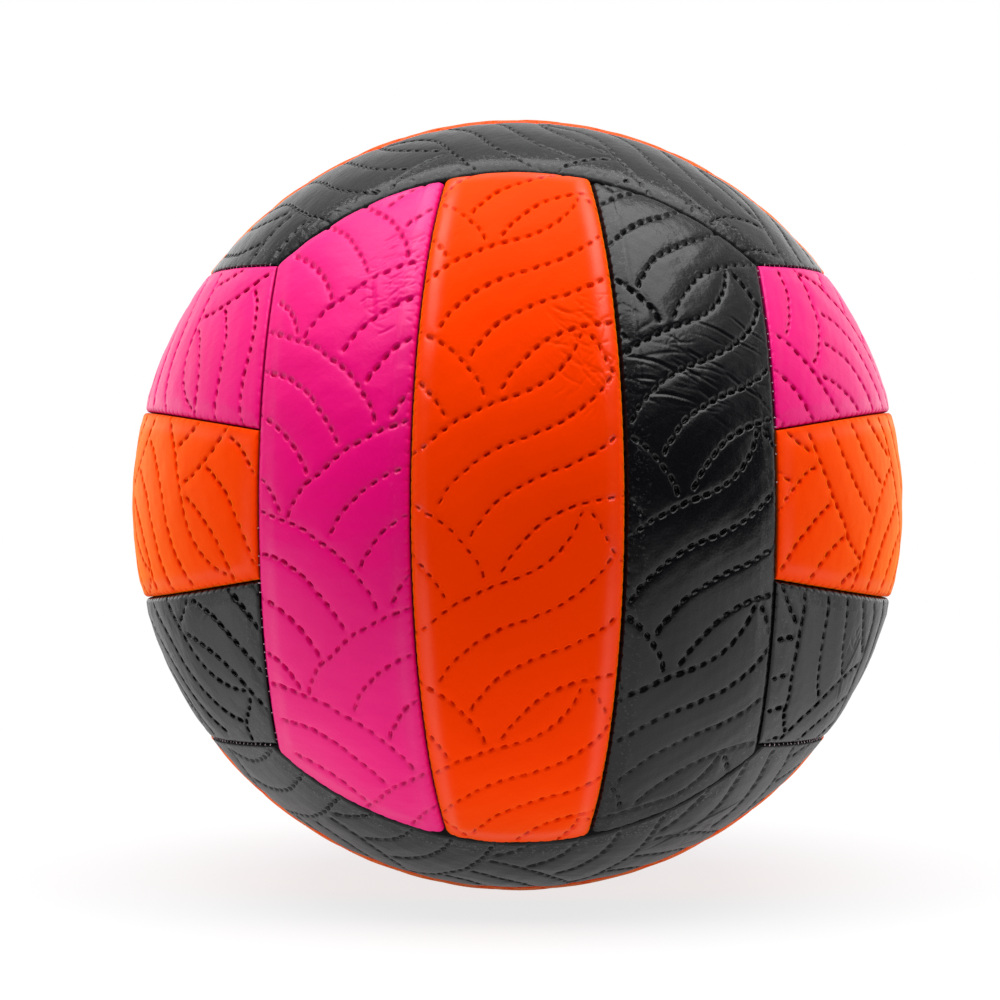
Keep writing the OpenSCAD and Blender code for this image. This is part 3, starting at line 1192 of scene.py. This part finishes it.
    def build(self, quilting: Quilting) -> bpy.types.Object:
        """Makes the panel as one closed mesh.

        Args:
            quilting: the quilted cloth.

        Returns:
            The piece, in its place.
        """
        rim = np.pad(self._surface(quilting), ((1, 1), (1, 1), (0, 0)), mode="edge")
        rim[[0, -1]] = self._under(rim[[0, -1]])
        rim[:, [0, -1]] = self._under(rim[:, [0, -1]])
        rows, columns = rim.shape[:2]
        faces, inner = self._faces(rows, columns)
        floor = self._under(np.array([rim[spot] for spot in inner]))
        points = np.vstack([rim.reshape(-1, 3), floor])
        placed = points @ self.face.turn(self.other_side) * MM
        mesh = bpy.data.meshes.new(self.name)
        mesh.vertices.add(len(placed))
        mesh.vertices.foreach_set("co", placed.astype(np.float32).ravel())
        counts = np.array([len(face) for face in faces])
        mesh.loops.add(int(counts.sum()))
        mesh.loops.foreach_set("vertex_index", np.concatenate(faces).astype(np.int32))
        mesh.polygons.add(len(faces))
        mesh.polygons.foreach_set("loop_start", np.concatenate([[0], np.cumsum(counts)[:-1]]).astype(np.int32))
        mesh.update(calc_edges=True)
        self._unwrap(mesh, np.concatenate(faces), counts, rows, columns, len(inner))
        piece = put_in_scene(self.name, mesh)
        if self.hole_r:
            self._pierce(piece)
        self._mark(piece.data, quilting)
        return piece

    def _unwrap(self, mesh: bpy.types.Mesh, corners: np.ndarray, counts: np.ndarray,
                rows: int, columns: int, inner: int) -> None:
        """Lays the outside out on the map for baking, and the underside in a narrow band beside it.

        Args:
            mesh: the panel's mesh.
            corners: the point of each polygon corner.
            counts: how many corners each polygon has.
            rows: rows of the outer grid.
            columns: columns of the outer grid.
            inner: how many inner points the underside has.
        """
        margin, outside_w, outside_h, middle = 0.005, 0.9, 0.99, 0.5
        band_w, band_left = 0.08, 0.915
        row, column = np.divmod(np.arange(rows * columns), columns)
        spot = np.stack([column / (columns - 1) * outside_w, row / (rows - 1) * outside_h], axis=1) + margin
        chosen = np.vstack([spot, np.full((inner, 2), middle)])[corners]
        below = np.repeat(np.arange(len(counts)) >= (rows - 1) * (columns - 1), counts)
        chosen[below] = chosen[below] * (band_w, 1.0) + (band_left, 0.0)
        layer = mesh.uv_layers.new(name="OFBake")
        layer.data.foreach_set("uv", chosen.astype(np.float32).ravel())

    def _pierce(self, piece: bpy.types.Object) -> None:
        """Cuts the round hole for the valve's collar.

        Args:
            piece: the panel, whose mesh is replaced.
        """
        bpy.ops.mesh.primitive_cylinder_add(
            vertices=96, radius=self.hole_r * MM, depth=0.03, location=(0, self.pattern.ball_r * MM, 0),
            rotation=(math.pi / 2, 0, 0))
        drill = bpy.context.object
        change = piece.modifiers.new("hole", "BOOLEAN")
        change.operation, change.solver, change.object = "DIFFERENCE", "EXACT", drill
        bpy.context.view_layer.update()
        cut = bpy.data.meshes.new_from_object(piece.evaluated_get(bpy.context.evaluated_depsgraph_get()))
        piece.modifiers.clear()
        piece.data = cut
        bpy.data.objects.remove(drill)

    def _mark(self, mesh: bpy.types.Mesh, quilting: Quilting) -> None:
        """Writes the leather's marks: stitch and line distances, painted seam shade, wear with painted highlight,
        shine.

        Args:
            mesh: the panel's finished mesh.
            quilting: the quilted cloth.
        """
        placed = np.empty(len(mesh.vertices) * 3, np.float32)
        mesh.vertices.foreach_get("co", placed)
        points = placed.reshape(-1, 3).astype(float) / MM @ self.face.turn(self.other_side).T
        seam = np.minimum.reduce(self._gaps(points))
        stitch, line = quilting.read(*self.cut.on_cloth(*self.on_panel(points)))
        # The stitch mark also carries the seam gaps, so that the leather paints them dark as painted shade; the
        # flecks of the wear mark are partly wear and partly painted highlight.
        marks = {"stitch": np.minimum(stitch, seam * self.seam_shade_rise - self.seam_shade), "furrow": line,
                 "wear_and_highlight": self.wear_and_highlight * swell(seam, *self.wear_and_highlight_band),
                 "shine": self.shine * swell(seam, *self.shine_band)}
        for name, found in marks.items():
            layer = mesh.attributes.new(name, "FLOAT", "POINT")
            layer.data.foreach_set("value", found.astype(np.float32))

    def fit(self, piece: bpy.types.Object) -> None:
        """Dresses the panel and lets it stand for its skin and its pad.

        Args:
            piece: the panel as built.
        """
        self.skin.value.dress(piece)
        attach(piece, "root")
        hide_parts(f"cover_{self.place}", f"pad_{self.place}")


@dataclass
class Cover:
    """The eighteen panels that close the ball."""

    quilting: Quilting = field(default_factory=Quilting)

    @cached_property
    def panels(self) -> tuple[Panel, ...]:
        """The panels, each with its cut, its creases, its pull and what its edges have of their own."""
        pink, orange, black = Skin.PINK, Skin.ORANGE, Skin.BLACK
        side, middle = Strip.SIDE, Strip.MIDDLE
        plain, tight, deep = (1.1, 0.8), (0.7, 0.8), (3.0, 3.3)
        ends = ((1.0, 0.75), (1.0, 0.75))
        return (
            Panel("front_left", Face.FRONT, side, pink, Cut(-16.4, 6.7, True, stretch=0.964), True, PRESSED,
                  rolls=((1.3, 1.1), plain, deep, tight), shoulders=(1.0, 0.25, 0.35, 0.15),
                  crimp_end=-1, shine=0.35),
            Panel("front_middle", Face.FRONT, middle, orange, Cut(0, 0), False, SCUFFED, 0.8,
                  rolls=((2.0, 1.2), (1.8, 1.2), tight, deep), shoulders=(0.95, 0.6, 0.15, 0.35),
                  tugs=(0.34, 0.3, 0.12, 0.1), shine=0.5),
            Panel("front_right", Face.FRONT, side, black, Cut(-2.8, 23.3), False, FOLDED, 1.3,
                  rolls=((1.3, 1.2), plain, tight, deep), shoulders=(1.1, 0.3, 0.15, 0.35),
                  crimp_end=1, seam_shade=0.4),
            Panel("back_left", Face.BACK, side, pink, Cut(-4.0, 5.0), False, FEW),
            Panel("back_middle", Face.BACK, middle, orange, Cut(-4.0, 18.0, True), False, FEW, hole_r=5.15),
            Panel("back_right", Face.BACK, side, black, Cut(-8.0, 26.0, True), True, FEW),
            Panel("left_upper", Face.LEFT, side, pink, Cut(4.1, 18.7, True), False, FEW),
            Panel("left_middle", Face.LEFT, middle, orange, Cut(-1.9, -0.3, True), False, FEW),
            Panel("left_lower", Face.LEFT, side, black, Cut(0.1, 12.7), True, FEW, 1.3),
            Panel("right_upper", Face.RIGHT, side, pink, Cut(-5.1, 11.7, True), False, FEW),
            Panel("right_middle", Face.RIGHT, middle, orange, Cut(-16.9, 27.7), False, FEW),
            Panel("right_lower", Face.RIGHT, side, black, Cut(-5.2, 29.7, True), True, DENTED, 1.2),
            Panel("top_front", Face.TOP, side, black, Cut(5.1, 6.7, True), True, RUMPLED_LIP, 0.85,
                  wear_and_highlight=0.15, rolls=((1.2, 1.0), (3.8, 1.5), *ends)),
            Panel("top_middle", Face.TOP, middle, orange, Cut(-6.0, 12.0), False, FEW),
            Panel("top_back", Face.TOP, side, pink, Cut(-9.0, 20.0, True), False, FEW),
            Panel("bottom_front", Face.BOTTOM, side, black, Cut(-19.6, 32.7, flipped=True), True, BENT, 1.2,
                  wear_and_highlight=0.12, seam_shade=0.85, rolls=((1.2, 1.0), (0.9, 2.2), *ends)),
            Panel("bottom_middle", Face.BOTTOM, middle, orange, Cut(-4.0, 8.0, flipped=True), False, FEW),
            Panel("bottom_back", Face.BOTTOM, side, pink, Cut(-5.0, 30.0, True), False, FEW),
        )

    def build(self) -> list[bpy.types.Object]:
        """Makes, dresses and fits the panels.

        Returns:
            The pieces.
        """
        pieces = []
        for panel in self.panels:
            piece = panel.build(self.quilting)
            panel.fit(piece)
            log.info("%s: %d points, %d faces", piece.name, len(piece.data.vertices), len(piece.data.polygons))
            pieces.append(piece)
        return pieces


@dataclass
class SeamThread:
    """The stitches that lie across the seams between two faces.

    A stitch is a bowed bit of thread whose middle lies under the crowns by the top drop, and its ends by the end
    drop, in mm. Round the front and the back face the stitches sink more, and those of the lower half and a share
    of the others have slipped out of sight.
    """

    pitch: float = 2.2
    end_room: float = 2.5
    half_width: float = 0.5
    thread_r: float = 0.125
    top_drop: float = 0.78
    end_drop: float = 1.05
    skew: float = 0.18
    sink: float = 0.18
    slipped: float = 0.985
    slipped_share: float = 0.35
    sides: int = 6
    rings: int = 7
    line_marks: int = 801
    seed: int = 11
    pattern: Pattern = field(default_factory=Pattern)

    def _seam(self) -> tuple[np.ndarray, np.ndarray]:
        """Marks off one seam between two faces, from corner to corner.

        Returns:
            The ways out to the stitches and the ways across the seam, in a face's own axes.
        """
        start, slope = self.pattern.face_seam
        radius = self.pattern.seam_r
        corner = radius / math.sqrt(3)
        ups = np.linspace(-corner, corner, self.line_marks)
        lean = 1 + slope ** 2
        outs = (np.sqrt((radius ** 2 - ups ** 2) * lean - start ** 2) - start * slope) / lean
        line = np.stack([start + slope * outs, -outs, ups], axis=1)
        run = runs(line)
        count = round((run[-1] - 2 * self.end_room) / self.pitch)
        marks = np.linspace(self.end_room, run[-1] - self.end_room, count + 1)
        places = np.stack([np.interp(marks, run, line[:, axis]) for axis in range(3)], axis=1)
        out = places / np.linalg.norm(places, axis=1, keepdims=True)
        plane = np.array([1.0, slope, 0.0]) / math.hypot(1, slope)
        across = plane - (out @ plane)[:, None] * out
        return out, across / np.linalg.norm(across, axis=1, keepdims=True)

    def build(self) -> bpy.types.Object:
        """Makes all the stitches as one piece.

        Returns:
            The piece.
        """
        out, across = self._seam()
        along = np.cross(out, across)
        bows = np.linspace(-1, 1, self.rings)
        chance = np.random.default_rng(self.seed)
        sizes = chance.uniform(0.8, 1.15, len(out))
        skews = chance.normal(0, self.skew, len(out))
        points, faces = [], []
        for way, side, run, size, skew in zip(out, across, along, sizes, skews):
            first = len(points)
            for bow in bows:
                drop = self.top_drop + (self.end_drop - self.top_drop) * bow ** 2
                middle = way * (self.pattern.ball_r - drop) + (side + run * skew) * bow * self.half_width * size
                for turn in np.arange(self.sides) * 2 * math.pi / self.sides:
                    points.append(middle + self.thread_r * (way * math.cos(turn) + run * math.sin(turn)))
            for ring in range(len(bows) - 1):
                for corner in range(self.sides):
                    here, there = first + ring * self.sides, first + (ring + 1) * self.sides
                    after = (corner + 1) % self.sides
                    faces.append((here + corner, here + after, there + after, there + corner))
            faces.append(tuple(first + corner for corner in reversed(range(self.sides))))
            last = first + (len(bows) - 1) * self.sides
            faces.append(tuple(last + corner for corner in range(self.sides)))
        one = np.array(points)
        low_half = out[:, 2] < 0.05
        hidden = low_half | (chance.uniform(0, 1, len(out)) < self.slipped_share)
        sunk = one * (1 - self.sink / self.pattern.ball_r)
        sunk *= np.repeat(np.where(hidden, self.slipped, 1.0), len(bows) * self.sides)[:, None]
        copies = [sunk @ face.turn(other_side) for face in (Face.FRONT, Face.BACK) for other_side in (False, True)]
        copies += [one @ face.turn(other_side) for face in (Face.LEFT, Face.RIGHT) for other_side in (False, True)]
        every = np.vstack(copies) * MM
        quads = [tuple(corner + copy * len(one) for corner in face)
                 for copy in range(len(copies)) for face in faces]
        mesh = bpy.data.meshes.new("seam_thread")
        mesh.from_pydata(every.tolist(), [], quads)
        mesh.update()
        for polygon in mesh.polygons:
            polygon.use_smooth = True
        piece = put_in_scene("seam_thread", mesh)
        piece.data.materials.append(ThreadFinish("pale_thread", paint(236, 205, 214)).material)
        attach(piece, "root")
        log.info("seam_thread: %d stitches", len(out) * len(copies))
        return piece


@dataclass
class Inside:
    """The bladder and the valve, which keep their construction shapes."""

    bladder: RubberFinish = RubberFinish("bladder_rubber", paint(38, 38, 40), 0.6)
    valve: RubberFinish = RubberFinish("valve_rubber", paint(44, 44, 47), 0.48)

    def dress(self, nodes: dict[str, bpy.types.Object]) -> None:
        """Puts rubber on the bladder, the valve's seat and the valve's plug.

        Args:
            nodes: the construction nodes by name.
        """
        for name, rubber in (("bladder", self.bladder), ("valve_seat", self.valve), ("valve_plug", self.valve)):
            rubber.dress(nodes[name])
            log.info("%s: construction shape, new rubber", name)


# ---------------------------------------------------------------------------
# Studio
# ---------------------------------------------------------------------------


@dataclass
class Studio:
    """A white floor and tent, a soft box and the camera, in metres."""

    distance: float = 0.63
    half_view: float = 0.219
    shift: tuple[float, float] = (-0.0175, 0.005)
    floor_z: float = -0.105
    floor_size: float = 6.0
    white: Colour = (1.0, 1.0, 1.0)
    paper: Colour = (0.85, 0.85, 0.85)
    dull_paper: Colour = (0.42, 0.42, 0.42)
    bounce: float = 2.3
    least_bounce: float = 0.03
    box_place: tuple[float, float, float] = (0.0, -0.2, 0.85)
    box_size: tuple[float, float] = (1.3, 0.9)
    box_watts: float = 17.3

    def camera(self) -> None:
        """Sets the camera where the photograph was taken from."""
        lens = bpy.data.cameras.new("camera")
        lens.sensor_width = 36.0
        lens.lens = lens.sensor_width / 2 / self.half_view
        lens.shift_x, lens.shift_y = self.shift
        lens.clip_start = 0.01
        eye = put_in_scene("camera", lens)
        eye.location = (0.0, -self.distance, 0.0)
        eye.rotation_euler = (math.pi / 2, 0.0, 0.0)
        bpy.context.scene.camera = eye

    def floor(self) -> None:
        """Lays the white floor, which the camera sees nearly white and which keeps the ball's shadow.

        To the ball itself it gives back a bounce that is weaker under the ball and towards its far side.
        """
        half = self.floor_size / 2
        mesh = bpy.data.meshes.new("floor")
        corners = [(-half, -half, 0), (half, -half, 0), (half, half, 0), (-half, half, 0)]
        mesh.from_pydata(corners, [], [(0, 1, 2, 3)])
        sheet = put_in_scene("floor", mesh)
        sheet.location = (0, 0, self.floor_z)
        made, mix = new_material("white_paper")
        seen = mix.value("ShaderNodeLightPath", output="Is Camera Ray")
        side, depth, _ = mix.axes(mix.place())
        away = mix.value("ShaderNodeVectorMath", {"operation": "LENGTH"}, {0: mix.place()}, "Value")
        lit = depth.ramp(-0.46, -0.1) * (1 - depth.ramp(-0.06, 0.06) * 0.7) * (away.ramp(0.02, 0.13) * 0.55 + 0.22)
        lit = lit * ((side * side).ramp(0.004, 0.1) * 0.5 + 1.0)
        paper = mix.node("ShaderNodeBsdfDiffuse", {}, {"Color": self.paper, "Roughness": 1.0})
        glow = mix.node("ShaderNodeEmission", {}, {"Color": self.white, "Strength": 1.0})
        dim = mix.node("ShaderNodeEmission", {}, {
            "Color": self.white, "Strength": lit * self.bounce + self.least_bounce})
        plain = mix.mingle(away.ramp(0.1, 0.5) * 0.22 + 0.78, paper, glow)
        shaded = mix.node("ShaderNodeBsdfDiffuse", {}, {"Color": self.dull_paper, "Roughness": 1.0})
        mix.put_out(mix.mingle(seen, mix.mingle(0.8, shaded, dim), plain))
        mesh.materials.append(made)

    def world(self) -> None:
        """Surrounds the ball with a white tent that is dim on the camera's side."""
        world = bpy.data.worlds.new("tent")
        bpy.context.scene.world = world
        world.use_nodes = True
        mix = Recipe(world.node_tree)
        side, back, up = mix.axes(mix.value("ShaderNodeTexCoord", output="Generated"))
        seen = mix.value("ShaderNodeLightPath", output="Is Camera Ray")
        behind = back.ramp(-0.4, 0.15)
        wings = up.ramp(0.42, 0.9) * ((side * side).ramp(0.05, 0.42) * 1.3 + 0.3)
        light = behind * (1.55 - up.ramp(0.1, 0.6) * 0.85) + (1 - behind) * wings + 0.02
        shown = mix.value("ShaderNodeMix", {"data_type": "FLOAT"}, {0: seen, 2: light, 3: 1.0})
        tent = mix.node("ShaderNodeBackground", {}, {"Color": self.white, "Strength": shown})
        mix.put_out(tent, "ShaderNodeOutputWorld")

    def soft_box(self) -> None:
        """Hangs the soft box, which looks at the ball."""
        lamp = bpy.data.lights.new("top_box", "AREA")
        lamp.shape, lamp.energy = "RECTANGLE", self.box_watts
        lamp.size, lamp.size_y = self.box_size
        box = put_in_scene("top_box", lamp)
        box.location = self.box_place
        box.rotation_euler = (-Vector(self.box_place)).to_track_quat("-Z", "Y").to_euler()

    def build(self) -> None:
        """Sets up the whole studio."""
        self.camera()
        self.floor()
        self.world()
        self.soft_box()
        bpy.context.scene.view_settings.view_transform = "Standard"
        log.info("studio: floor, tent, a soft box and the camera")


def main() -> None:
    """Builds the volleyball from its cover inwards, then the studio."""
    logging.basicConfig(level=logging.INFO, format="%(name)s: %(message)s")
    Cover().build()
    SeamThread().build()
    Inside().dress(frame["nodes"])
    Studio().build()


if __name__ == "__main__":
    main()
